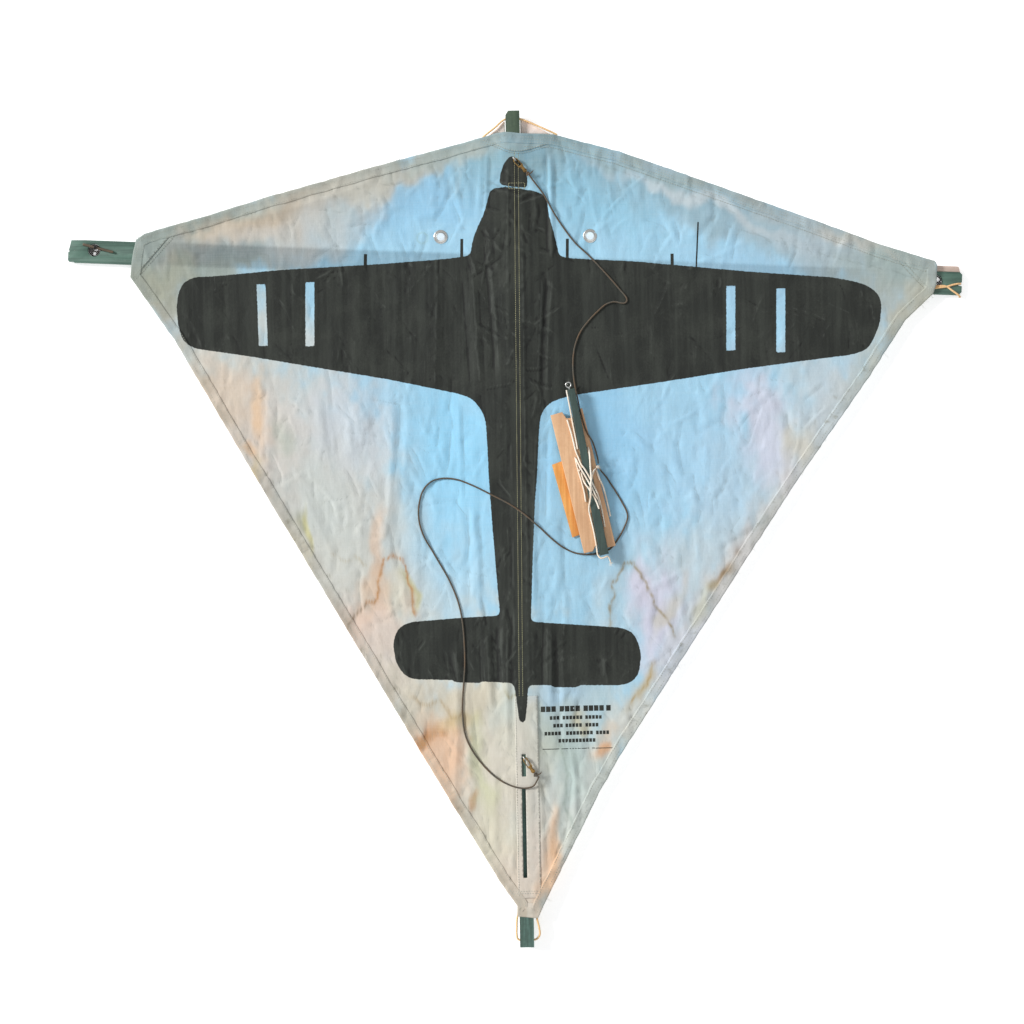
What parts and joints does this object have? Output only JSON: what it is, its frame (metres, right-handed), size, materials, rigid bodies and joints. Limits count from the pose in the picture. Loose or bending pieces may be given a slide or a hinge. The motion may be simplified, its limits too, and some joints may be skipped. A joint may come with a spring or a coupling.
{
  "type": "diamond kite",
  "caption": "Large two-stick diamond kite with a printed cotton sail, pivoting spar, corner ties, screw eyes, bridle line and a wound control-bar bundle.",
  "frame": {"origin": "under the middle of the longeron, on the plane that the kite's back rests on", "axes": "+Y up the longeron to the nose, +X to the right wing tip seen from the printed face, +Z out of the printed face"},
  "size_m": [1.6124, 1.505, 0.0439],
  "materials": {
    "painted_wood": "dull green paint over wood, chipped to bare wood at the ends",
    "bare_wood": "bare split wood, greyed",
    "peg_wood": "whittled bare wood",
    "batten_wood": "orange varnished strip with straight grain",
    "board_wood": "thin tan board, rubbed smooth",
    "sail_cotton": "sky blue cotton, faded, with a charcoal green print and brown water stains",
    "patch_cotton": "doubled grey blue cotton, stitched down",
    "lining_cotton": "pale turned hem",
    "guy_cord": "orange tan twisted cotton cord",
    "bridle_cord": "dark waxed twisted cord",
    "control_cord": "cream twisted cotton line",
    "plated_steel": "dull plated steel",
    "brass": "aged brass"
  },
  "bodies": {
    "root": {"longeron": "painted_wood", "pivot_bolt": "plated_steel", "pivot_nut": "plated_steel", "pivot_washer": "plated_steel", "sail": "sail_cotton", "head_patch": "patch_cotton", "left_tip_patch": "patch_cotton", "right_tip_patch": "patch_cotton", "tail_patch": "patch_cotton", "slot_tape": "patch_cotton", "nose_lining_left": "lining_cotton", "nose_lining_right": "lining_cotton", "grommet_left": "plated_steel", "grommet_washer_left": "plated_steel", "grommet_right": "plated_steel", "grommet_washer_right": "plated_steel", "guy_line_head": "guy_cord", "guy_line_tail": "guy_cord", "screw_eye_head": "plated_steel", "snap_hook_head": "brass", "bridle_knot_head": "bridle_cord", "screw_eye_tail": "plated_steel", "snap_hook_tail": "brass", "bridle_knot_tail": "bridle_cord", "bridle_upper": "bridle_cord", "bridle_lower": "bridle_cord", "batten": "batten_wood", "tip_tie": "guy_cord"},
    "spar": {"cross_spar": "painted_wood", "tip_splint": "bare_wood"},
    "toggle": {"toggle_peg": "peg_wood", "toggle_line": "guy_cord"},
    "gate_head": {"snap_gate_head": "brass"},
    "gate_tail": {"snap_gate_tail": "brass"},
    "bundle": {"winder_board": "board_wood", "control_bar": "painted_wood", "bar_eye": "plated_steel", "control_line_eye": "control_cord", "control_line_notch": "control_cord", "control_line_cross": "control_cord", "control_line_left": "control_cord", "control_line_low": "control_cord", "control_line_right": "control_cord", "bridle_on_board": "bridle_cord", "bridle_knot_board": "control_cord"}
  },
  "joints": [
    {"name": "spar_fold", "type": "hinge", "parent": "root", "child": "spar", "pos_m": [0, 0.472, 0.005], "axis": [0, 0, 1], "range_deg": [-86.87, 0]},
    {"name": "toggle_turn", "type": "hinge", "parent": "spar", "child": "toggle", "pos_m": [-0.7555, 0.5207, 0.0121], "axis": [0, 0, 1], "continuous": true},
    {"name": "gate_head_open", "type": "hinge", "parent": "root", "child": "gate_head", "pos_m": [0.0102, 0.64958, 0.02861], "axis": [-0.0412, 0.045, -0.9981], "range_deg": [0, 25], "stiffness_Nm_per_rad": 0.002},
    {"name": "gate_tail_open", "type": "hinge", "parent": "root", "child": "gate_tail", "pos_m": [0.0067, -0.42758, 0.02861], "axis": [-0.0333, 0.0512, -0.9981], "range_deg": [0, 25], "stiffness_Nm_per_rad": 0.002},
    {"name": "bundle_lift", "type": "slide", "parent": "root", "child": "bundle", "axis": [0, 0, 1], "range_m": [0, 0.06]}
  ]
}
